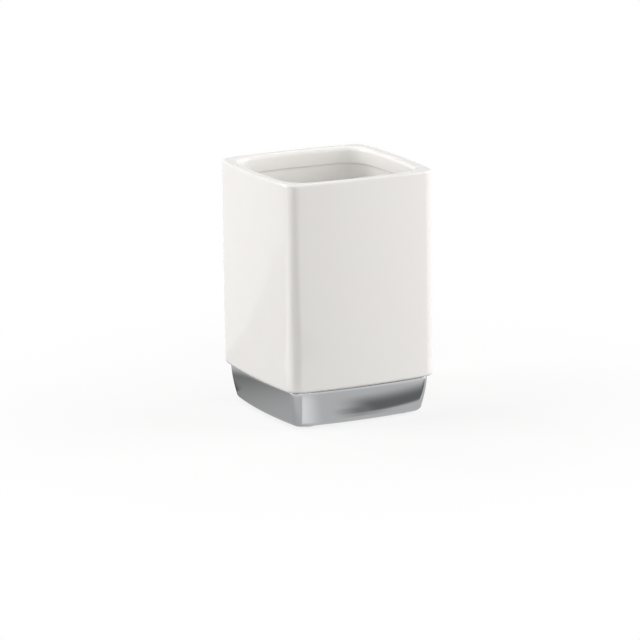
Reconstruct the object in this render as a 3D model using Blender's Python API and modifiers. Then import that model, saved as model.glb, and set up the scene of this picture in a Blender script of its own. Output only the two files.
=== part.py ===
"""Square ceramic toothbrush holder on a satin chrome base, for Blender 4.5.

Units are metres and +Z is up. The origin is the middle of the footprint, on the surface that the
holder stands on. Every level of the ceramic and of the base is a bowed square: four sides that
bulge a little, joined by corner fillets. The walls are lofts through such sections, because the
corner radius, the wall thickness and the width all change on the way.
"""

import math
from collections import namedtuple

import bmesh
import bpy

MM = 0.001

# Plan of the ceramic, measured across the middle of two opposite sides
BODY_WIDTH = 70.0 * MM
SIDE_BOW = 2.0 * MM
BODY_CORNER_RADIUS = 6.0 * MM

# Ceramic from its lower edge up to the rim
BODY_HEIGHT = 86.5 * MM
BODY_EDGE_ROUND = 1.3 * MM
RIM_OUTER_ROUND = 1.0 * MM
RIM_ROLL = 1.6 * MM
RIM_WALL = 4.5 * MM
RIM_CORNER_RADIUS = 9.9 * MM

# Solid cast collar inside the rim, and the thinner wall that the drained slip leaves below it
COLLAR_DEPTH = 7.2 * MM
COLLAR_WALL = 3.8 * MM
COLLAR_CORNER_RADIUS = 12.5 * MM
COLLAR_LIP_ROUND = 0.4 * MM
LOWER_WALL = 2.9 * MM
LOWER_CORNER_RADIUS = 13.5 * MM
UNDERCUT_HEIGHT = 1.6 * MM
FLOOR_THICKNESS = 4.8 * MM
FLOOR_FILLET = 7.0 * MM

# Foot of the ceramic, which goes down into the base
FOOT_RING_WIDTH = 5.0 * MM
FOOT_RECESS_DEPTH = 3.4 * MM
FOOT_RECESS_CORNER_RADIUS = 6.0 * MM
FOOT_RECESS_FILLET = 1.4 * MM
FOOT_EDGE_ROUND = 0.6 * MM

# Base shell
BASE_OVERHANG = 2.0 * MM
BASE_TAPER = 2.4 * MM
BASE_CROWN = 0.45 * MM
BASE_CORNER_RADIUS = 4.2 * MM
BASE_EDGE_ROUND = 2.8 * MM
BASE_LIP_ROUND = 0.3 * MM
BASE_WALL = 2.2 * MM
SOCKET_DEPTH = 9.4 * MM
SOCKET_CORNER_RADIUS = 1.6 * MM
RIB_HEIGHT = 2.8 * MM
RIB_THICKNESS = 2.4 * MM
POCKET_ROUND = 2.0 * MM
BASE_SKIN = 1.4 * MM

# Adhesive bead between the foot and its seat
BEAD_HEIGHT = 1.2 * MM
BEAD_WIDTH = 3.2 * MM

# Anti-slip pads
PAD_DIAMETER = 10.0 * MM
PAD_RECESS_DEPTH = 1.8 * MM
PAD_STANDOUT = 0.5 * MM
PAD_INSET = 6.7 * MM
PAD_EDGE_ROUND = 0.3 * MM

# Clearance between pieces that touch on the real holder
FIT_GAP = 0.3 * MM
# How far a cutter runs past the face that it opens
CUT_OVERRUN = 1.0 * MM

# Facets
SIDE_STEPS = 8
CORNER_STEPS = 6
ROUND_STEPS = 4
FLOOR_STEPS = 6
COLLAR_STEPS = 3
CROWN_STEPS = 3
PAD_SIDES = 32

# A round takes at most this share of the wall that it is cut from
ROUND_SHARE = 0.8
# A fillet that is moved inwards keeps at least this share of its radius
LEAST_CORNER_SHARE = 0.25
SMOOTH_ANGLE = math.radians(35)

# Levels above the surface that the holder stands on
BASE_Z = PAD_STANDOUT
FLOOR_TOP = PAD_RECESS_DEPTH + BASE_SKIN
SEAT_TOP = FLOOR_TOP + RIB_HEIGHT
BASE_HEIGHT = SEAT_TOP + SOCKET_DEPTH
BODY_Z = BASE_Z + BASE_HEIGHT + FIT_GAP
FOOT_DEPTH = SOCKET_DEPTH - BEAD_HEIGHT - FIT_GAP

Section = namedtuple("Section", "height half_width corner_radius")


def bowed_square(half_width, corner_radius):
    """Points of a bowed square, anticlockwise seen from above: a side arc and a corner, four times."""
    chord = half_width - SIDE_BOW
    side_radius = (chord ** 2 + SIDE_BOW ** 2) / (2 * SIDE_BOW)
    side_centre = half_width - side_radius
    reach = side_radius - corner_radius
    fillet_centre = (side_centre + math.sqrt(2 * reach ** 2 - side_centre ** 2)) / 2
    turn = math.atan2(fillet_centre, fillet_centre - side_centre)

    quarter = []
    for step in range(SIDE_STEPS):
        angle = turn * (2 * step / SIDE_STEPS - 1)
        quarter.append((side_centre + side_radius * math.cos(angle), side_radius * math.sin(angle)))
    for step in range(CORNER_STEPS):
        angle = turn + (math.pi / 2 - 2 * turn) * step / CORNER_STEPS
        quarter.append((fillet_centre + corner_radius * math.cos(angle),
                        fillet_centre + corner_radius * math.sin(angle)))

    points = []
    for _ in range(4):
        points.extend(quarter)
        quarter = [(-y, x) for x, y in quarter]
    return points


def inset(section, distance, rise=0):
    """The section moved in by a distance, with its corners drawn tighter as a parallel line's are."""
    least = section.corner_radius * LEAST_CORNER_SHARE
    return Section(section.height + rise, section.half_width - distance,
                   max(section.corner_radius - distance, least))


def between(start, end, rise_share, spread_share):
    """The section that has come these shares of the way up and across from start to end."""
    return Section(start.height + (end.height - start.height) * rise_share,
                   start.half_width + (end.half_width - start.half_width) * spread_share,
                   start.corner_radius + (end.corner_radius - start.corner_radius) * spread_share)


def quarter_round(start, end, upright_first, steps=ROUND_STEPS):
    """Sections on a quarter ellipse from start to end, which leaves start upright or level."""
    sections = []
    for step in range(steps + 1):
        angle = math.pi / 2 * step / steps
        early, late = math.sin(angle), 1 - math.cos(angle)
        if upright_first:
            sections.append(between(start, end, early, late))
        else:
            sections.append(between(start, end, late, early))
    return sections


def make_material(name, colour, roughness, metallic=0.0):
    material = bpy.data.materials.new(name)
    material.use_nodes = True
    shader = material.node_tree.nodes["Principled BSDF"]
    shader.inputs["Base Color"].default_value = (*colour, 1.0)
    shader.inputs["Roughness"].default_value = roughness
    shader.inputs["Metallic"].default_value = metallic
    material.diffuse_color = (*colour, 1.0)
    return material


def place(piece, material, collection, parent, location=(0, 0, 0)):
    """Gives a finished piece its material, its collection, its parent and its place."""
    piece.data.materials.append(material)
    piece.parent = parent
    piece.location = location
    for holder in list(piece.users_collection):
        holder.objects.unlink(piece)
    collection.objects.link(piece)


def loft(name, sections):
    """Closed solid skinned through the sections, with the first and the last filled flat."""
    shape = bmesh.new()
    rings = [[shape.verts.new((x, y, section.height))
              for x, y in bowed_square(section.half_width, section.corner_radius)]
             for section in sections]
    for ring, following in zip(rings, rings[1:]):
        for i in range(len(ring)):
            j = (i + 1) % len(ring)
            shape.faces.new((ring[i], ring[j], following[j], following[i]))
    shape.faces.new(reversed(rings[0]))
    shape.faces.new(rings[-1])
    mesh = bpy.data.meshes.new(name)
    shape.to_mesh(mesh)
    shape.free()
    mesh.shade_smooth()
    mesh.set_sharp_from_angle(angle=SMOOTH_ANGLE)
    return bpy.data.objects.new(name, mesh)


def base_outside(height):
    """Outer section of the base shell at a height above its underside: a taper that is crowned."""
    lowered_share = 1 - height / BASE_HEIGHT
    crown = BASE_CROWN * 4 * lowered_share * (1 - lowered_share)
    half_width = BODY_WIDTH / 2 - BASE_OVERHANG - BASE_TAPER * lowered_share + crown
    return Section(height, half_width, BASE_CORNER_RADIUS)


def socket_wall(height, clearance=0):
    """Inner face of the base shell at a height above its underside, or a line inside it."""
    outside = base_outside(height)
    return Section(height, outside.half_width - BASE_WALL - clearance, SOCKET_CORNER_RADIUS)


def foot_outside(height):
    """Outer section of the ceramic foot, at a height above the ceramic's lower edge."""
    wall = socket_wall(height + BASE_HEIGHT + FIT_GAP, FIT_GAP)
    return Section(height, wall.half_width, wall.corner_radius)


def foot_recess_half():
    """Half width of the recess inside the foot ring; the pockets in the base reach as far out."""
    return foot_outside(-FOOT_DEPTH).half_width - FOOT_RING_WIDTH


def foot_sections():
    """Underside of the ceramic: recess, foot ring and the foot's side up to the body's lower edge."""
    foot = -FOOT_DEPTH
    edge = min(FOOT_EDGE_ROUND, FOOT_RECESS_DEPTH * ROUND_SHARE / 2)
    fillet = min(FOOT_RECESS_FILLET, FOOT_RECESS_DEPTH * ROUND_SHARE / 2)
    recess = Section(foot, foot_recess_half(), FOOT_RECESS_CORNER_RADIUS)
    ring = foot_outside(foot)
    sections = quarter_round(inset(recess, fillet, FOOT_RECESS_DEPTH),
                             inset(recess, 0, FOOT_RECESS_DEPTH - fillet), upright_first=False)
    sections += quarter_round(inset(recess, 0, edge), inset(recess, -edge), upright_first=True)
    sections += quarter_round(inset(ring, edge), foot_outside(foot + edge), upright_first=False)
    sections.append(foot_outside(0))
    return sections


def outer_sections():
    """Outside of the ceramic: lower edge, upright side and the outer half of the rim."""
    edge = Section(0, BODY_WIDTH / 2, BODY_CORNER_RADIUS)
    rim = Section(BODY_HEIGHT, BODY_WIDTH / 2, BODY_CORNER_RADIUS)
    sections = quarter_round(inset(edge, BODY_EDGE_ROUND), inset(edge, 0, BODY_EDGE_ROUND),
                             upright_first=False)
    sections += quarter_round(inset(rim, 0, -RIM_OUTER_ROUND), inset(rim, RIM_OUTER_ROUND),
                              upright_first=True)
    return sections


def inner_sections():
    """Inside of the ceramic: rim roll, collar, undercut, thinner wall and floor."""
    half = BODY_WIDTH / 2
    roll = min(RIM_ROLL, (RIM_WALL - RIM_OUTER_ROUND) * ROUND_SHARE)
    lip = min(COLLAR_LIP_ROUND, abs(COLLAR_WALL - LOWER_WALL) * ROUND_SHARE)
    collar_z = BODY_HEIGHT - COLLAR_DEPTH
    floor_z = FOOT_RECESS_DEPTH + FLOOR_THICKNESS - FOOT_DEPTH

    rim = Section(BODY_HEIGHT, half - RIM_WALL + roll, RIM_CORNER_RADIUS)
    throat = Section(BODY_HEIGHT - roll, half - RIM_WALL, RIM_CORNER_RADIUS)
    collar = Section(collar_z + lip, half - COLLAR_WALL, COLLAR_CORNER_RADIUS)
    lip_edge = Section(collar_z, half - COLLAR_WALL + lip, COLLAR_CORNER_RADIUS)
    wall_top = Section(collar_z - UNDERCUT_HEIGHT, half - LOWER_WALL, LOWER_CORNER_RADIUS)
    wall_foot = Section(floor_z + FLOOR_FILLET, half - LOWER_WALL, LOWER_CORNER_RADIUS)

    sections = quarter_round(rim, throat, upright_first=False)
    for step in range(1, COLLAR_STEPS):
        sections.append(between(throat, collar, step / COLLAR_STEPS, step / COLLAR_STEPS))
    sections += quarter_round(collar, lip_edge, upright_first=True)
    sections += quarter_round(lip_edge, wall_top, upright_first=False)[1:]
    sections += quarter_round(wall_foot, inset(wall_foot, FLOOR_FILLET, -FLOOR_FILLET),
                              upright_first=True, steps=FLOOR_STEPS)
    return sections


def make_ceramic_body(material, collection, parent):
    """Slip cast tumbler, its origin at the level of the body's lower edge."""
    body = loft("ceramic_body", foot_sections() + outer_sections() + inner_sections())
    place(body, material, collection, parent, (0, 0, BODY_Z))


def cut(piece, cutter, cutters):
    """Takes a cutter's shape out of a piece, and leaves the cutter hidden as a wire guide."""
    cutter.parent = piece
    cutter.hide_render = True
    cutter.display_type = "WIRE"
    for holder in list(cutter.users_collection):
        holder.objects.unlink(cutter)
    cutters.objects.link(cutter)
    difference = piece.modifiers.new(cutter.name, "BOOLEAN")
    difference.operation = "DIFFERENCE"
    difference.solver = "EXACT"
    difference.object = cutter


def rib_pocket(name, side_x, side_y):
    """One of four pockets between the crossed ribs, under the hollow of the ceramic foot."""
    width = foot_recess_half() - RIB_THICKNESS / 2
    centre = (foot_recess_half() + RIB_THICKNESS / 2) / 2
    depth = RIB_HEIGHT + POCKET_ROUND + CUT_OVERRUN
    bpy.ops.mesh.primitive_cube_add(size=1, location=(side_x * centre, side_y * centre,
                                                      FLOOR_TOP + depth / 2))
    pocket = bpy.context.object
    pocket.name = name
    pocket.scale = (width, width, depth)
    bpy.ops.object.transform_apply(location=False, rotation=False, scale=True)
    corners = pocket.modifiers.new("corner rounds", "BEVEL")
    corners.width = min(POCKET_ROUND, RIB_HEIGHT * ROUND_SHARE)
    corners.segments = 3
    return pocket


def pad_recess(name, side_x, side_y):
    """Round recess in the underside of the base for one pad."""
    depth = PAD_RECESS_DEPTH + CUT_OVERRUN
    spread = pad_spread()
    bpy.ops.mesh.primitive_cylinder_add(
        vertices=PAD_SIDES, radius=PAD_DIAMETER / 2 + FIT_GAP, depth=depth,
        location=(side_x * spread, side_y * spread, PAD_RECESS_DEPTH - depth / 2))
    recess = bpy.context.object
    recess.name = name
    return recess


def pad_spread():
    """Distance of each pad's middle from the holder's middle, along X and along Y."""
    return base_outside(0).half_width - BASE_EDGE_ROUND - PAD_INSET


def corners():
    """The four corners, numbered from 1, as signs along X and Y."""
    return enumerate([(1, 1), (-1, 1), (-1, -1), (1, -1)], start=1)


def base_levels(face, start, end):
    """Sections of one face of the base shell between two heights, which are left out."""
    heights = [start + (end - start) * step / CROWN_STEPS for step in range(1, CROWN_STEPS)]
    return [face(height) for height in heights]


def make_base_shell(material, collection, cutters, parent):
    """Tapered shell with a socket for the ceramic foot; its origin is at its underside."""
    underside = inset(base_outside(0), BASE_EDGE_ROUND)
    lip = min(BASE_LIP_ROUND, BASE_WALL * ROUND_SHARE / 2)
    outer_lip = base_outside(BASE_HEIGHT - lip)
    inner_lip = socket_wall(BASE_HEIGHT - lip)
    sections = quarter_round(underside, base_outside(BASE_EDGE_ROUND), upright_first=False,
                             steps=FLOOR_STEPS)
    sections += base_levels(base_outside, BASE_EDGE_ROUND, outer_lip.height)
    sections += quarter_round(outer_lip, inset(outer_lip, lip, lip), upright_first=True)
    sections += quarter_round(inset(inner_lip, -lip, lip), inner_lip, upright_first=False)
    sections += base_levels(socket_wall, inner_lip.height, SEAT_TOP)
    sections.append(socket_wall(SEAT_TOP))
    base = loft("base_shell", sections)
    place(base, material, collection, parent, (0, 0, BASE_Z))
    for number, (side_x, side_y) in corners():
        cut(base, rib_pocket(f"rib_pocket_{number}", side_x, side_y), cutters)
        cut(base, pad_recess(f"pad_recess_{number}", side_x, side_y), cutters)


def make_bond_bead(material, collection, parent):
    """Adhesive squeezed flat between the foot ring and its seat, as one closed loop."""
    middle = foot_outside(-FOOT_DEPTH).half_width - FOOT_RING_WIDTH / 2
    points = bowed_square(middle, SOCKET_CORNER_RADIUS)
    path = bpy.data.curves.new("bond_bead", "CURVE")
    path.dimensions = "3D"
    path.twist_mode = "Z_UP"
    path.bevel_depth = BEAD_HEIGHT / 2
    path.bevel_resolution = 1
    path.extrude = (BEAD_WIDTH - BEAD_HEIGHT) / 2
    line = path.splines.new("POLY")
    line.points.add(len(points) - 1)
    for point, (x, y) in zip(line.points, points):
        point.co = (x, y, 0, 1)
        point.tilt = math.pi / 2
    line.use_cyclic_u = True
    bead = bpy.data.objects.new("bond_bead", path)
    place(bead, material, collection, parent, (0, 0, BASE_Z + SEAT_TOP + FIT_GAP + BEAD_HEIGHT / 2))


def make_foot_pads(material, collection, parent):
    """Four round pads, each standing out of its recess by the same amount."""
    thickness = PAD_RECESS_DEPTH - FIT_GAP + PAD_STANDOUT
    spread = pad_spread()
    for number, (side_x, side_y) in corners():
        bpy.ops.mesh.primitive_cylinder_add(vertices=PAD_SIDES, radius=PAD_DIAMETER / 2,
                                            depth=thickness)
        pad = bpy.context.object
        pad.name = f"foot_pad_{number}"
        place(pad, material, collection, parent, (side_x * spread, side_y * spread, thickness / 2))
        edges = pad.modifiers.new("edge rounds", "BEVEL")
        edges.width = min(PAD_EDGE_ROUND, thickness * ROUND_SHARE / 2)
        edges.segments = 2
        edges.limit_method = "ANGLE"
        pad.data.shade_smooth()
        pad.data.set_sharp_from_angle(angle=SMOOTH_ANGLE)


def main():
    for old in list(bpy.data.objects):
        bpy.data.objects.remove(old)

    holder = bpy.data.collections.new("toothbrush_holder")
    cutters = bpy.data.collections.new("cutters")
    for collection in (holder, cutters):
        bpy.context.scene.collection.children.link(collection)

    glaze = make_material("warm_white_glaze", (0.84, 0.83, 0.80), roughness=0.12)
    chrome = make_material("satin_chrome", (0.60, 0.61, 0.62), roughness=0.28, metallic=1.0)
    silicone = make_material("clear_grey_silicone", (0.62, 0.62, 0.60), roughness=0.45)
    rubber = make_material("grey_rubber", (0.09, 0.09, 0.09), roughness=0.8)

    stand = bpy.data.objects.new("stand_point", None)
    stand.empty_display_size = BODY_WIDTH / 2
    holder.objects.link(stand)
    make_ceramic_body(glaze, holder, stand)
    make_base_shell(chrome, holder, cutters, stand)
    make_bond_bead(silicone, holder, stand)
    make_foot_pads(rubber, holder, stand)


main()
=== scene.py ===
"""Looks of a square ceramic toothbrush holder on a satin chrome base, for Blender 4.5.

Lengths are metres, +Z is up, and the holder stands on the floor at the origin. The tumbler and the
base are bowed squares at every level: four sides that bulge a little, joined by corner fillets. Both
are skinned here again, through many more sections than the construction has. The anti-slip pads are
turned anew, and the adhesive bead of the construction stays and gets its finish.
"""

import math

import bmesh
import bpy
from mathutils import Euler, Matrix, Vector


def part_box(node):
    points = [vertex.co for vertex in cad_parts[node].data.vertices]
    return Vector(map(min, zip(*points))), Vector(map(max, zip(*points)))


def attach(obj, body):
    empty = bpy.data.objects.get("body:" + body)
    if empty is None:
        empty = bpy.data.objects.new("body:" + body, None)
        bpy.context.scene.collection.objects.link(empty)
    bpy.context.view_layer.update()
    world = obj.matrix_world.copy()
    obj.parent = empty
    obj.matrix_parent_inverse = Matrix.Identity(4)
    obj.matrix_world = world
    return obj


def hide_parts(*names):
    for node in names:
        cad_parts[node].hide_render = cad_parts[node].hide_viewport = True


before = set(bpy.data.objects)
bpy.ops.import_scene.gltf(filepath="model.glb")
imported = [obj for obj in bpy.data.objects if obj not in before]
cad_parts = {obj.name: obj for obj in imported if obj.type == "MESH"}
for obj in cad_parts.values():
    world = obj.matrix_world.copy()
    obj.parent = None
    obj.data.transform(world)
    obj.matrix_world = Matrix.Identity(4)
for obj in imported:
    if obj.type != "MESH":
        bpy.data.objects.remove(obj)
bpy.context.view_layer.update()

MM = 0.001

# Tumbler: outside, rim, collar and the thinner wall below it
SIDE_BOW = 2.0 * MM
BODY_CORNER_RADIUS = 6.0 * MM
BODY_EDGE_ROUND = 1.3 * MM
RIM_OUTER_ROUND = 1.0 * MM
RIM_ROLL = 1.6 * MM
RIM_WALL = 4.5 * MM
RIM_CORNER_RADIUS = 9.9 * MM
COLLAR_DEPTH = 7.2 * MM
COLLAR_WALL = 3.8 * MM
COLLAR_CORNER_RADIUS = 12.5 * MM
COLLAR_LIP_ROUND = 0.4 * MM
LOWER_WALL = 2.9 * MM
LOWER_CORNER_RADIUS = 13.5 * MM
UNDERCUT_HEIGHT = 1.6 * MM
FLOOR_TOP_ABOVE_EDGE = 0.3 * MM
FLOOR_FILLET = 7.0 * MM

# Foot of the tumbler, inside the base
FOOT_RING_WIDTH = 5.0 * MM
FOOT_RECESS_DEPTH = 3.4 * MM
FOOT_RECESS_CORNER_RADIUS = 6.0 * MM
FOOT_RECESS_FILLET = 1.4 * MM
FOOT_EDGE_ROUND = 0.6 * MM

# Base shell
BASE_OVERHANG = 2.0 * MM
BASE_TAPER = 2.4 * MM
BASE_CROWN = 0.45 * MM
BASE_CORNER_RADIUS = 4.2 * MM
BASE_EDGE_ROUND = 2.8 * MM
BASE_LIP_ROUND = 0.3 * MM
BASE_WALL = 2.2 * MM
SOCKET_CORNER_RADIUS = 1.6 * MM
SOCKET_DEPTH = 9.4 * MM
FIT_GAP = 0.3 * MM

# Anti-slip pads, numbered as in the construction, and their recesses. Each ring groove has an inner
# and an outer radius, from the middle of the pad outwards.
PAD_NUMBERS = range(1, 5)
PAD_RECESS_DEPTH = 1.8 * MM
PAD_RECESS_CHAMFER = 0.25 * MM
PAD_EDGE_ROUND = 0.3 * MM
PAD_GROOVES = [(1.8 * MM, 2.3 * MM), (3.2 * MM, 3.7 * MM)]
PAD_GROOVE_DEPTH = 0.3 * MM
PAD_GROOVE_FLANK = PAD_GROOVE_DEPTH / 3

# Distance of an extra ring from a round or an inner corner, so that the smooth shading ends there
FLAT_MARGIN = 0.4 * MM
FOOT_ROOT_MARGIN = 0.3 * MM
PAD_FLAT_MARGIN = 0.3 * MM

# Facets
SIDE_STEPS = 24
CORNER_STEPS = 18
ROUND_STEPS = 8
WALL_STEPS = 22
COLLAR_STEPS = 5
BASE_EDGE_STEPS = 14
BASE_SIDE_STEPS = 12
SOCKET_STEPS = 8
PAD_SIDES = 96
LEAST_CORNER_SHARE = 0.25
SMOOTH_ANGLE = math.radians(35)

# Glaze: how wide it pools, and the faint waves that it fires with
GLAZE_IOR = 1.52
GLAZE_POOL_WIDTH = 22 * MM
GLAZE_WAVE_WIDTH = 3.5 * MM
GLAZE_WAVE_HEIGHT = 0.04 * MM

# Chrome: the grain of the blasting, drawn about five times as coarse as it is, so that it shows
CHROME_GRAIN_WIDTH = 0.5 * MM
CHROME_GRAIN_HEIGHT = 0.01 * MM

# Silicone: the dimples of the squeezed bead, at their own size
SILICONE_IOR = 1.41
SILICONE_DIMPLE_WIDTH = 1.5 * MM

# Rubber: the grain of the mould, drawn about three times as coarse as it is, so that it shows
RUBBER_IOR = 1.52
RUBBER_GRAIN_WIDTH = 0.3 * MM
RUBBER_GRAIN_HEIGHT = 0.03 * MM

# Floor of white paper: its albedo, its brightness under the lamps, and the albedo for what it throws back
# on the holder. The camera sees a share of the lamps' light on it, full near the holder and fading out.
FLOOR_RADIUS = 2.6
FLOOR_SIDES = 96
FLOOR_WHITE = 0.95
FLOOR_LIT = 1.1
FLOOR_GREY = 0.3
FLOOR_SEEN_SHARE = 0.2
FLOOR_SHARE_FULL = 50 * MM
FLOOR_SHARE_GONE = 200 * MM
BACKGROUND_WHITE = 1.0

# Painted shadows and painted highlights lie on the paper as patches of brightness that only mirrors
# see; they stand in for the holder's shadows on the paper and for bright spots on it. The chrome mirrors
# those near it and the glaze those farther out, the holder's long soft shadow among them, and between
# the two distances one set gives way to the other. A patch has the brightness that it adds to the bare
# paper's, its turn about Z in degrees, and the ramps that bound it along its own axes, each from its edge
# to where the patch is full.
NEAR_PAINTING_END = 68 * MM
FAR_PAINTING_START = 95 * MM
# Painted shade: the bare paper near the holder, as the mirrors see it, is darker than white. It stands in
# for the shade beside and under the holder.
NEAR_PAPER_PAINTED_SHADE = 0.72
# Near patches, which the chrome mirrors. The first adds brightness, a painted highlight: the bright streak
# in front of the front corner. The others take brightness away and are painted shadows: the holder's shadows
# and shade on the paper around its foot.
NEAR_PAINTED_SHADOWS_AND_HIGHLIGHTS = [
    (0.42, 12, [("X", -34.8 * MM, -33.4 * MM), ("X", -22.0 * MM, -32.5 * MM),
                ("Y", -22.5 * MM, -28.0 * MM), ("Y", -90 * MM, -48 * MM)]),
    (-0.53, 0, [("X", -8 * MM, 12 * MM), ("Y", -35.5 * MM, -37.5 * MM), ("Y", -60 * MM, -42 * MM)]),
    (-0.14, 0, [("X", -20 * MM, -29 * MM), ("Y", -40 * MM, -25 * MM)]),
    (-0.39, 0, [("X", -20 * MM, -29 * MM), ("Y", -20 * MM, 78 * MM)]),
    (-0.28, 180, [("X", -30 * MM, 2 * MM), ("X", 36 * MM, 28 * MM),
                  ("Y", -35.5 * MM, -37.5 * MM), ("Y", -60 * MM, -42 * MM)]),
    (-0.20, 0, [("X", -12 * MM, -4 * MM), ("X", 8 * MM, 0 * MM),
                ("Y", -35.5 * MM, -37.5 * MM), ("Y", -44 * MM, -40 * MM)]),
    (-0.35, 90, [("X", -24 * MM, 20 * MM), ("Y", -34 * MM, -38 * MM), ("Y", -95 * MM, -60 * MM)]),
]
FAR_PAPER = 1.0
FAR_PAINTED_SHADOWS_AND_HIGHLIGHTS = [
    # Painted shadow: the holder's long soft shadow behind it on the left, which the glaze mirrors
    (-0.35, 50, [("X", 54 * MM, 46 * MM), ("X", -64 * MM, -44 * MM),
                 ("Y", 70 * MM, 90 * MM), ("Y", 420 * MM, 260 * MM)]),
    # Painted shade on the paper in front and to the left, which the front corner of the glaze mirrors as a
    # dark crease
    (-0.90, 53, [("X", -112 * MM, -132 * MM), ("Y", -144 * MM, -99 * MM), ("Y", 156 * MM, 111 * MM)]),
    # Painted highlight: a bright patch to the left, which the front corner of the glaze mirrors as a light
    # line beside the crease
    (1.20, -8, [("X", -96 * MM, -116 * MM), ("Y", -132 * MM, -97 * MM), ("Y", 58 * MM, 23 * MM)]),
]

# Daylight lamps, a little warm. Each has a name, an azimuth from -Y towards +X and an elevation in
# degrees, a distance, a width, a height and its watts. All point at about the middle of the holder.
LAMP_COLOUR = (1.0, 0.976, 0.968)
LAMP_AIM = Vector((0, 0, 55 * MM))
LAMPS = [
    ("left softbox", -110, 20, 1.2, 0.7, 0.7, 11.4),
    ("front softbox", -10, 18, 1.4, 1.2, 0.8, 9.6),
    ("right softbox", 70, 20, 1.4, 1.4, 0.95, 19.9),
    ("upper softbox", 180, 68, 0.9, 0.9, 0.9, 3.0),
    ("rim light", -157, 38, 1.1, 0.2, 0.2, 1.5),
]

# Camera, in metres and degrees, with its lens and sensor in millimetres
CAMERA_PLACE = (-0.7317, -1.4688, 0.4320)
CAMERA_YAW = -26.37
CAMERA_PITCH = -13.54
CAMERA_ROLL = -0.71
CAMERA_LENS = 228.99
SENSOR_WIDTH = 36.0
NEAREST_SEEN = 0.01
FARTHEST_SEEN = 20


def srgb(code):
    """Linear colour, with alpha, of an sRGB hex code."""
    channels = [int(code[i:i + 2], 16) / 255 for i in (1, 3, 5)]
    return (*(c / 12.92 if c <= 0.04045 else ((c + 0.055) / 1.055) ** 2.4 for c in channels), 1.0)


# Forms

def bowed_square(half_width, corner_radius):
    """Points of a bowed square, anticlockwise seen from above: a side arc and a corner, four times."""
    chord = half_width - SIDE_BOW
    side_radius = (chord ** 2 + SIDE_BOW ** 2) / (2 * SIDE_BOW)
    side_centre = half_width - side_radius
    reach = side_radius - corner_radius
    fillet_centre = (side_centre + math.sqrt(2 * reach ** 2 - side_centre ** 2)) / 2
    turn = math.atan2(fillet_centre, fillet_centre - side_centre)

    quarter = []
    for step in range(SIDE_STEPS):
        angle = turn * (2 * step / SIDE_STEPS - 1)
        quarter.append((side_centre + side_radius * math.cos(angle), side_radius * math.sin(angle)))
    for step in range(CORNER_STEPS):
        angle = turn + (math.pi / 2 - 2 * turn) * step / CORNER_STEPS
        quarter.append((fillet_centre + corner_radius * math.cos(angle),
                        fillet_centre + corner_radius * math.sin(angle)))

    points = []
    for _ in range(4):
        points.extend(quarter)
        quarter = [(-y, x) for x, y in quarter]
    return points


class Section:
    """One level of a loft: its height, its half width and its corner radius."""

    def __init__(self, height, half_width, corner_radius):
        self.height = height
        self.half_width = half_width
        self.corner_radius = corner_radius

    def inset(self, distance, rise=0):
        """The section this much farther in all round and higher by the rise, with corners never sharp."""
        least = self.corner_radius * LEAST_CORNER_SHARE
        return Section(self.height + rise, self.half_width - distance,
                       max(self.corner_radius - distance, least))

    def towards(self, end, rise_share, spread_share):
        """The section that has come these shares of the way up and across to the end."""
        return Section(self.height + (end.height - self.height) * rise_share,
                       self.half_width + (end.half_width - self.half_width) * spread_share,
                       self.corner_radius + (end.corner_radius - self.corner_radius) * spread_share)


def quarter_round(start, end, upright_first, steps=ROUND_STEPS):
    """Sections on a quarter ellipse from start to end, which leaves start upright or level."""
    sections = []
    for step in range(steps + 1):
        angle = math.pi / 2 * step / steps
        early, late = math.sin(angle), 1 - math.cos(angle)
        rise, spread = (early, late) if upright_first else (late, early)
        sections.append(start.towards(end, rise, spread))
    return sections


def straight(start, end, steps):
    """Sections between start and end, closer together near both, and neither of them among these."""
    shares = [(1 - math.cos(math.pi * step / steps)) / 2 for step in range(1, steps)]
    return [start.towards(end, share, share) for share in shares]


def along(face, start, end, steps):
    """Sections of one face of the base at even heights between two, which are left out."""
    return [face(start + (end - start) * step / steps) for step in range(1, steps)]


def skin(name, levels):
    """Closed solid through levels of points, with the first and the last filled flat."""
    shape = bmesh.new()
    rings = [[shape.verts.new(point) for point in level] for level in levels]
    for ring, following in zip(rings, rings[1:]):
        for i in range(len(ring)):
            j = (i + 1) % len(ring)
            shape.faces.new((ring[i], ring[j], following[j], following[i]))
    shape.faces.new(reversed(rings[0]))
    shape.faces.new(rings[-1])
    mesh = bpy.data.meshes.new(name)
    shape.to_mesh(mesh)
    shape.free()
    mesh.shade_smooth()
    piece = bpy.data.objects.new(name, mesh)
    bpy.context.scene.collection.objects.link(piece)
    return piece


def loft(name, sections):
    """Solid through sections, each a bowed square at its own height."""
    return skin(name, [[(x, y, section.height)
                        for x, y in bowed_square(section.half_width, section.corner_radius)]
                       for section in sections])


def revolve(name, profile, centre):
    """Solid of revolution about the upright line through centre, from its (radius, height) profile."""
    angles = [2 * math.pi * side / PAD_SIDES for side in range(PAD_SIDES)]
    return skin(name, [[(centre.x + radius * math.cos(a), centre.y + radius * math.sin(a), height)
                        for a in angles] for radius, height in profile])


def cut(piece, cutters):
    """Takes the cutters' shapes out of a piece, and the cutters out of the scene."""
    for cutter in cutters:
        difference = piece.modifiers.new("cut", "BOOLEAN")
        difference.solver = "EXACT"
        difference.object = cutter
    bpy.context.view_layer.update()
    result = piece.evaluated_get(bpy.context.evaluated_depsgraph_get())
    piece.data = bpy.data.meshes.new_from_object(result)
    piece.modifiers.clear()
    piece.data.set_sharp_from_angle(angle=SMOOTH_ANGLE)
    for cutter in cutters:
        bpy.data.objects.remove(cutter)


# Materials

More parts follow.
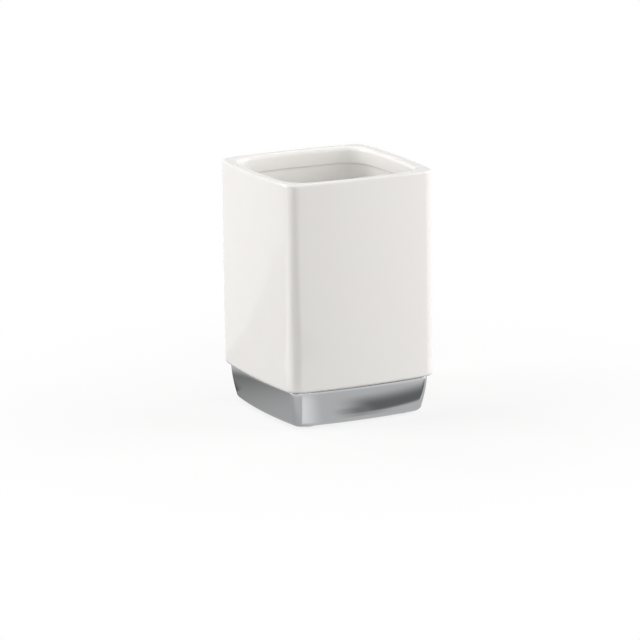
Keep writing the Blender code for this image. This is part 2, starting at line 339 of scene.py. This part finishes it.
def add(tree, kind, settings=None, links=None):
    """Adds a node, sets its properties and input values, and links outputs to its inputs."""
    node = tree.nodes.new(kind)
    for key, value in (settings or {}).items():
        if isinstance(key, str) and hasattr(node, key):
            setattr(node, key, value)
        else:
            node.inputs[key].default_value = value
    for key, output in (links or {}).items():
        tree.links.new(output, node.inputs[key])
    return node


def new_material(name):
    """Material with a Principled BSDF on its output: also its tree, shader and object coordinates."""
    material = bpy.data.materials.new(name)
    material.use_nodes = True
    tree = material.node_tree
    tree.nodes.clear()
    shader = add(tree, "ShaderNodeBsdfPrincipled")
    add(tree, "ShaderNodeOutputMaterial", links={"Surface": shader.outputs["BSDF"]})
    place = add(tree, "ShaderNodeTexCoord").outputs["Object"]
    return material, tree, shader, place


def glazed_porcelain():
    """Porcelain, slip cast and dipped in a warm white glaze.

    The eye gets a glassy white with clear, faintly wavy reflections. Between its pools, where the
    glaze lies thin, it is a little whiter and less sharp.
    """
    material, tree, shader, place = new_material("glazed_porcelain")
    shader.inputs["IOR"].default_value = GLAZE_IOR
    pools = add(tree, "ShaderNodeTexNoise", {"Scale": 1 / GLAZE_POOL_WIDTH, "Detail": 3.0},
                {"Vector": place})
    tint = add(tree, "ShaderNodeMix", {"data_type": "RGBA", 6: srgb("#F2F1EF"), 7: srgb("#F4F4F1")},
               {"Factor": pools.outputs["Fac"]})
    tree.links.new(tint.outputs[2], shader.inputs["Base Color"])
    gloss = add(tree, "ShaderNodeMapRange", {"To Min": 0.04, "To Max": 0.08},
                {"Value": pools.outputs["Fac"]})
    tree.links.new(gloss.outputs["Result"], shader.inputs["Roughness"])
    waves = add(tree, "ShaderNodeTexNoise", {"Scale": 1 / GLAZE_WAVE_WIDTH, "Detail": 2.0},
                {"Vector": place})
    bump = add(tree, "ShaderNodeBump", {"Strength": 0.35, "Distance": GLAZE_WAVE_HEIGHT},
               {"Height": waves.outputs["Fac"]})
    tree.links.new(bump.outputs["Normal"], shader.inputs["Normal"])
    return material


def satin_chrome():
    """Chrome plated over a surface blasted with fine grit.

    The grain of the grit stays under the plating, so the eye gets a bright grey metal whose
    reflections are soft at their edges.
    """
    material, tree, shader, place = new_material("satin_chrome")
    shader.inputs["Metallic"].default_value = 1.0
    shader.inputs["Base Color"].default_value = srgb("#C4C5C6")
    grain = add(tree, "ShaderNodeTexNoise", {"Scale": 1 / CHROME_GRAIN_WIDTH, "Detail": 4.0},
                {"Vector": place})
    gloss = add(tree, "ShaderNodeMapRange", {"To Min": 0.10, "To Max": 0.15},
                {"Value": grain.outputs["Fac"]})
    tree.links.new(gloss.outputs["Result"], shader.inputs["Roughness"])
    bump = add(tree, "ShaderNodeBump", {"Strength": 0.3, "Distance": CHROME_GRAIN_HEIGHT},
               {"Height": grain.outputs["Fac"]})
    tree.links.new(bump.outputs["Normal"], shader.inputs["Normal"])
    return material


def cured_silicone():
    """Silicone adhesive, squeezed out by the foot and cured.

    The eye gets a milky bead that shines a little, unevenly from dimple to dimple.
    """
    material, tree, shader, place = new_material("cured_silicone")
    shader.inputs["Base Color"].default_value = srgb("#CDCCC8")
    shader.inputs["IOR"].default_value = SILICONE_IOR
    dimples = add(tree, "ShaderNodeTexNoise", {"Scale": 1 / SILICONE_DIMPLE_WIDTH, "Detail": 2.0},
                  {"Vector": place})
    gloss = add(tree, "ShaderNodeMapRange", {"To Min": 0.35, "To Max": 0.5},
                {"Value": dimples.outputs["Fac"]})
    tree.links.new(gloss.outputs["Result"], shader.inputs["Roughness"])
    return material


def moulded_rubber():
    """Rubber, moulded with a fine grain so that it grips.

    The eye gets a dark grey that hardly shines.
    """
    material, tree, shader, place = new_material("moulded_rubber")
    shader.inputs["Base Color"].default_value = srgb("#3A3A3B")
    shader.inputs["IOR"].default_value = RUBBER_IOR
    grain = add(tree, "ShaderNodeTexNoise", {"Scale": 1 / RUBBER_GRAIN_WIDTH, "Detail": 3.0},
                {"Vector": place})
    gloss = add(tree, "ShaderNodeMapRange", {"To Min": 0.65, "To Max": 0.85},
                {"Value": grain.outputs["Fac"]})
    tree.links.new(gloss.outputs["Result"], shader.inputs["Roughness"])
    bump = add(tree, "ShaderNodeBump", {"Strength": 0.5, "Distance": RUBBER_GRAIN_HEIGHT},
               {"Height": grain.outputs["Fac"]})
    tree.links.new(bump.outputs["Normal"], shader.inputs["Normal"])
    return material


def finish_piece(piece, node, material):
    """Gives a new piece its material, and puts it in the place of its construction node."""
    piece.data.materials.append(material)
    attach(piece, "root")
    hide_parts(node)


def dress(node, material):
    """Gives a material to a construction node that stays in sight."""
    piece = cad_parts[node]
    piece.data.materials.clear()
    piece.data.materials.append(material)


# Base shell and anti-slip pads

base_low, base_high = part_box("base_shell")
body_low, body_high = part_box("ceramic_body")
BODY_HALF = body_high.x
BASE_HEIGHT = base_high.z - base_low.z
EDGE_Z = base_high.z + FIT_GAP


def base_outside(height):
    """Outer section of the base at a height above its underside: a taper with a crown on it."""
    lowered_share = 1 - height / BASE_HEIGHT
    crown = BASE_CROWN * 4 * lowered_share * (1 - lowered_share)
    half_width = BODY_HALF - BASE_OVERHANG - BASE_TAPER * lowered_share + crown
    return Section(base_low.z + height, half_width, BASE_CORNER_RADIUS)


def socket_wall(height, clearance=0):
    """Section of the socket's wall at a height above the underside, in from it by the clearance."""
    outside = base_outside(height)
    return Section(outside.height, outside.half_width - BASE_WALL - clearance, SOCKET_CORNER_RADIUS)


def pad_box(number):
    """Middle of a pad, its radius and the height of its top."""
    low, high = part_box(f"foot_pad_{number}")
    return (low + high) / 2, (high.x - low.x) / 2, high.z


def pad_recess(number):
    """Cutter for one pad's recess, whose cone starts below the underside and chamfers the mouth."""
    centre, radius, _ = pad_box(number)
    wall = radius + FIT_GAP
    mouth = base_low.z
    profile = [(wall + 2 * PAD_RECESS_CHAMFER, mouth - PAD_RECESS_CHAMFER),
               (wall, mouth + PAD_RECESS_CHAMFER), (wall, mouth + PAD_RECESS_DEPTH)]
    return revolve(f"recess_{number}", profile, centre)


def make_base(material):
    """Tapered shell: up its outside, over its lip and down its socket, with a recess for each pad."""
    lip = BASE_LIP_ROUND
    seat = BASE_HEIGHT - SOCKET_DEPTH
    underside = base_outside(0).inset(BASE_EDGE_ROUND)
    outer_lip = base_outside(BASE_HEIGHT - lip)
    inner_lip = socket_wall(BASE_HEIGHT - lip)
    sections = [underside.inset(FLAT_MARGIN)]
    sections += quarter_round(underside, base_outside(BASE_EDGE_ROUND), upright_first=False,
                              steps=BASE_EDGE_STEPS)
    sections += along(base_outside, BASE_EDGE_ROUND, outer_lip.height - base_low.z, BASE_SIDE_STEPS)
    sections += quarter_round(outer_lip, outer_lip.inset(lip, lip), upright_first=True)
    sections += quarter_round(inner_lip.inset(-lip, lip), inner_lip, upright_first=False)
    sections += along(socket_wall, inner_lip.height - base_low.z, seat, SOCKET_STEPS)
    sections += [socket_wall(seat), socket_wall(seat).inset(FLAT_MARGIN)]
    base = loft("chrome_base", sections)
    cut(base, [pad_recess(number) for number in PAD_NUMBERS])
    finish_piece(base, "base_shell", material)


def make_pad(number, material):
    """Moulded disc, rounded at its edges, with ring grooves in the face that grips."""
    centre, radius, top = pad_box(number)
    profile = []
    for inner, outer in PAD_GROOVES:
        profile += [(inner, 0), (inner + PAD_GROOVE_FLANK, PAD_GROOVE_DEPTH),
                    (outer - PAD_GROOVE_FLANK, PAD_GROOVE_DEPTH), (outer, 0)]
    flat = radius - PAD_EDGE_ROUND
    profile.append((flat - PAD_FLAT_MARGIN, 0))
    turns = [math.pi / 2 * step / ROUND_STEPS for step in range(ROUND_STEPS + 1)]
    profile += [(flat + PAD_EDGE_ROUND * math.sin(t), PAD_EDGE_ROUND * (1 - math.cos(t))) for t in turns]
    profile += [(flat + PAD_EDGE_ROUND * math.cos(t), top - PAD_EDGE_ROUND * (1 - math.sin(t)))
                for t in turns]
    pad = revolve(f"moulded_pad_{number}", profile, centre)
    pad.data.set_sharp_from_angle(angle=SMOOTH_ANGLE)
    finish_piece(pad, f"foot_pad_{number}", material)


# Tumbler

def foot_outside(height):
    """Outer section of the foot, at a height above the body's lower edge."""
    wall = socket_wall(height + BASE_HEIGHT + FIT_GAP, FIT_GAP)
    return Section(EDGE_Z + height, wall.half_width, wall.corner_radius)


def foot_sections():
    """Sections from the ceiling of the recess under the foot, round its ring, to the body's underside."""
    foot_depth = EDGE_Z - body_low.z
    ring = foot_outside(-foot_depth)
    recess = Section(body_low.z, ring.half_width - FOOT_RING_WIDTH, FOOT_RECESS_CORNER_RADIUS)
    sections = quarter_round(recess.inset(FOOT_RECESS_FILLET, FOOT_RECESS_DEPTH),
                             recess.inset(0, FOOT_RECESS_DEPTH - FOOT_RECESS_FILLET),
                             upright_first=False)
    sections += quarter_round(recess.inset(0, FOOT_EDGE_ROUND), recess.inset(-FOOT_EDGE_ROUND),
                              upright_first=True)
    sections += quarter_round(ring.inset(FOOT_EDGE_ROUND), foot_outside(FOOT_EDGE_ROUND - foot_depth),
                              upright_first=False)
    root = foot_outside(0)
    sections += [foot_outside(-FOOT_ROOT_MARGIN), root, root.inset(-FOOT_ROOT_MARGIN)]
    return sections


def outer_sections():
    """Sections from the rounded lower edge up the outside and over the rim's outer edge."""
    edge = Section(EDGE_Z, BODY_HALF, BODY_CORNER_RADIUS)
    rim = Section(body_high.z, BODY_HALF, BODY_CORNER_RADIUS)
    wall_foot = edge.inset(0, BODY_EDGE_ROUND)
    wall_top = rim.inset(0, -RIM_OUTER_ROUND)
    return [*quarter_round(edge.inset(BODY_EDGE_ROUND), wall_foot, upright_first=False),
            *straight(wall_foot, wall_top, WALL_STEPS),
            *quarter_round(wall_top, rim.inset(RIM_OUTER_ROUND), upright_first=True)]


def inner_sections():
    """Sections from the rolled inner edge of the rim, down the collar and the wall, to the floor."""
    collar_z = body_high.z - COLLAR_DEPTH
    floor_z = EDGE_Z + FLOOR_TOP_ABOVE_EDGE
    top = Section(body_high.z, BODY_HALF - RIM_WALL + RIM_ROLL, RIM_CORNER_RADIUS)
    throat = Section(body_high.z - RIM_ROLL, BODY_HALF - RIM_WALL, RIM_CORNER_RADIUS)
    collar = Section(collar_z + COLLAR_LIP_ROUND, BODY_HALF - COLLAR_WALL, COLLAR_CORNER_RADIUS)
    lip_edge = Section(collar_z, BODY_HALF - COLLAR_WALL + COLLAR_LIP_ROUND, COLLAR_CORNER_RADIUS)
    wall_top = Section(collar_z - UNDERCUT_HEIGHT, BODY_HALF - LOWER_WALL, LOWER_CORNER_RADIUS)
    wall_foot = Section(floor_z + FLOOR_FILLET, BODY_HALF - LOWER_WALL, LOWER_CORNER_RADIUS)
    floor = wall_foot.inset(FLOOR_FILLET, -FLOOR_FILLET)
    return [*quarter_round(top, throat, upright_first=False),
            *straight(throat, collar, COLLAR_STEPS),
            *quarter_round(collar, lip_edge, upright_first=True),
            *quarter_round(lip_edge, wall_top, upright_first=False)[1:],
            *straight(wall_top, wall_foot, WALL_STEPS),
            *quarter_round(wall_foot, floor, upright_first=True),
            floor.inset(FLAT_MARGIN)]


def make_tumbler(material):
    """One casting: foot, outside, rim, collar, wall and floor."""
    tumbler = loft("glazed_tumbler", foot_sections() + outer_sections() + inner_sections())
    finish_piece(tumbler, "ceramic_body", material)


# Studio

def kinds_of_ray(tree):
    """Outputs that are 1 for a ray from the camera, for a mirrored or refracted one, and for either."""
    rays = add(tree, "ShaderNodeLightPath")
    seen = rays.outputs["Is Camera Ray"]
    mirrored = add(tree, "ShaderNodeMath", {"operation": "MAXIMUM"},
                   {0: rays.outputs["Is Glossy Ray"], 1: rays.outputs["Is Transmission Ray"]}).outputs[0]
    watched = add(tree, "ShaderNodeMath", {"operation": "MAXIMUM"}, {0: seen, 1: mirrored}).outputs[0]
    return seen, mirrored, watched


def lay_painted_shadows_and_highlights(tree, place, painted_patches, bare):
    """Brightness of the paper with painted shadows and painted highlights on it: patches that lighten or
    darken its bare brightness.
    """
    brightness = None
    for change, turn, ramps in painted_patches:
        on_painted_patch = add(tree, "ShaderNodeVectorRotate",
                      {"rotation_type": "Z_AXIS", "Angle": math.radians(-turn)}, {"Vector": place})
        axes = add(tree, "ShaderNodeSeparateXYZ", links={0: on_painted_patch.outputs[0]})
        share = None
        for axis, edge, full in ramps:
            ramp = add(tree, "ShaderNodeMapRange",
                       {"interpolation_type": "SMOOTHSTEP", "From Min": edge, "From Max": full},
                       {"Value": axes.outputs[axis]}).outputs["Result"]
            if share is not None:
                ramp = add(tree, "ShaderNodeMath", {"operation": "MULTIPLY"},
                           {0: share, 1: ramp}).outputs[0]
            share = ramp
        terms = {0: share}
        if brightness is not None:
            terms[2] = brightness
        brightness = add(tree, "ShaderNodeMath", {"operation": "MULTIPLY_ADD", 1: change, 2: bare},
                         terms).outputs[0]
    return brightness


def make_floor():
    """White paper, seen in three ways.

    The camera sees it evened out to white, with a part of its shadow. The glaze and the chrome mirror
    it with painted shadows and painted highlights on it, and with painted shade near the holder. What it
    throws back on the holder is the light of a grey paper.
    """
    bpy.ops.mesh.primitive_circle_add(vertices=FLOOR_SIDES, radius=FLOOR_RADIUS, fill_type="NGON")
    floor = bpy.context.object
    floor.name = "floor"
    material = bpy.data.materials.new("pale_floor")
    material.use_nodes = True
    tree = material.node_tree
    tree.nodes.clear()
    seen, mirrored, watched = kinds_of_ray(tree)
    place = add(tree, "ShaderNodeTexCoord").outputs["Object"]
    distance = add(tree, "ShaderNodeVectorMath", {"operation": "LENGTH"}, {0: place}).outputs["Value"]

    # Share of the lamps' light in what the camera sees
    fading = add(tree, "ShaderNodeMapRange",
                 {"interpolation_type": "SMOOTHSTEP", "From Min": FLOOR_SHARE_FULL,
                  "From Max": FLOOR_SHARE_GONE, "To Min": FLOOR_SEEN_SHARE, "To Max": 0.0},
                 {"Value": distance}).outputs["Result"]
    share = add(tree, "ShaderNodeMath", {"operation": "MULTIPLY"}, {0: fading, 1: seen}).outputs[0]
    white = add(tree, "ShaderNodeMath", {"operation": "MULTIPLY", 1: FLOOR_WHITE}, {0: share}).outputs[0]
    albedo = add(tree, "ShaderNodeMix", {2: FLOOR_GREY}, {0: watched, 3: white}).outputs[0]
    paper = add(tree, "ShaderNodeBsdfDiffuse", links={"Color": albedo})

    # Brightness to reach: white for the camera, and in mirrors the near or the far painted shadows and
    # highlights
    near = add(tree, "ShaderNodeMapRange",
               {"interpolation_type": "SMOOTHSTEP", "From Min": NEAR_PAINTING_END,
                "From Max": FAR_PAINTING_START, "To Min": 1.0, "To Max": 0.0},
               {"Value": distance}).outputs["Result"]
    near_mirrored = add(tree, "ShaderNodeMath", {"operation": "MULTIPLY"},
                        {0: near, 1: mirrored}).outputs[0]
    far = add(tree, "ShaderNodeMix", {2: BACKGROUND_WHITE},
              {0: mirrored, 3: lay_painted_shadows_and_highlights(tree, place, FAR_PAINTED_SHADOWS_AND_HIGHLIGHTS, FAR_PAPER)}).outputs[0]
    whole = add(tree, "ShaderNodeMix", None,
                {0: near_mirrored, 2: far, 3: lay_painted_shadows_and_highlights(tree, place, NEAR_PAINTED_SHADOWS_AND_HIGHLIGHTS, NEAR_PAPER_PAINTED_SHADE)}).outputs[0]

    # The paper's own light makes up what the lamps' share lacks; in mirrors it is the whole painted
    # brightness, painted shadows and highlights included
    lacking = add(tree, "ShaderNodeMath", {"operation": "MULTIPLY_ADD", 1: -FLOOR_LIT},
                  {0: share, 2: whole}).outputs[0]
    strength = add(tree, "ShaderNodeMath", {"operation": "MULTIPLY"}, {0: lacking, 1: watched}).outputs[0]
    glow = add(tree, "ShaderNodeEmission", links={"Strength": strength})
    both = add(tree, "ShaderNodeAddShader", links={0: paper.outputs[0], 1: glow.outputs[0]})
    add(tree, "ShaderNodeOutputMaterial", links={"Surface": both.outputs[0]})
    floor.data.materials.append(material)


def make_world():
    """Room that gives the holder no light, and is white to the camera and in mirrors."""
    world = bpy.data.worlds.new("studio")
    bpy.context.scene.world = world
    world.use_nodes = True
    tree = world.node_tree
    tree.nodes.clear()
    _, _, watched = kinds_of_ray(tree)
    dark = add(tree, "ShaderNodeBackground", {"Strength": 0.0})
    white = add(tree, "ShaderNodeBackground", {"Strength": BACKGROUND_WHITE})
    room = add(tree, "ShaderNodeMixShader", None, {0: watched, 1: dark.outputs[0], 2: white.outputs[0]})
    add(tree, "ShaderNodeOutputWorld", links={"Surface": room.outputs[0]})


def make_camera():
    """Camera at the photograph's place, turned by its yaw and pitch, then rolled about its line of sight."""
    data = bpy.data.cameras.new("camera")
    data.lens = CAMERA_LENS
    data.sensor_width = SENSOR_WIDTH
    data.clip_start = NEAREST_SEEN
    data.clip_end = FARTHEST_SEEN
    camera = bpy.data.objects.new("camera", data)
    unrolled = Euler((math.radians(90 + CAMERA_PITCH), 0, math.radians(CAMERA_YAW))).to_matrix()
    rolled = unrolled @ Matrix.Rotation(math.radians(CAMERA_ROLL), 3, "Z")
    camera.matrix_world = Matrix.Translation(CAMERA_PLACE) @ rolled.to_4x4()
    bpy.context.scene.collection.objects.link(camera)
    bpy.context.scene.camera = camera


def hang_lamp(name, azimuth, elevation, distance, width, height, watts):
    """Rectangular area lamp, turned to face the holder."""
    turn, lift = math.radians(azimuth), math.radians(elevation)
    away = Vector((math.sin(turn) * math.cos(lift), -math.cos(turn) * math.cos(lift), math.sin(lift)))
    data = bpy.data.lights.new(name, "AREA")
    data.shape = "RECTANGLE"
    data.size = width
    data.size_y = height
    data.energy = watts
    data.color = LAMP_COLOUR
    lamp = bpy.data.objects.new(name, data)
    lamp.location = LAMP_AIM + away * distance
    lamp.rotation_euler = away.to_track_quat("Z", "Y").to_euler()
    bpy.context.scene.collection.objects.link(lamp)


make_tumbler(glazed_porcelain())
make_base(satin_chrome())
dress("bond_bead", cured_silicone())
rubber = moulded_rubber()
for number in PAD_NUMBERS:
    make_pad(number, rubber)

make_floor()
make_world()
make_camera()
for lamp in LAMPS:
    hang_lamp(*lamp)

bpy.context.scene.view_settings.view_transform = "Standard"
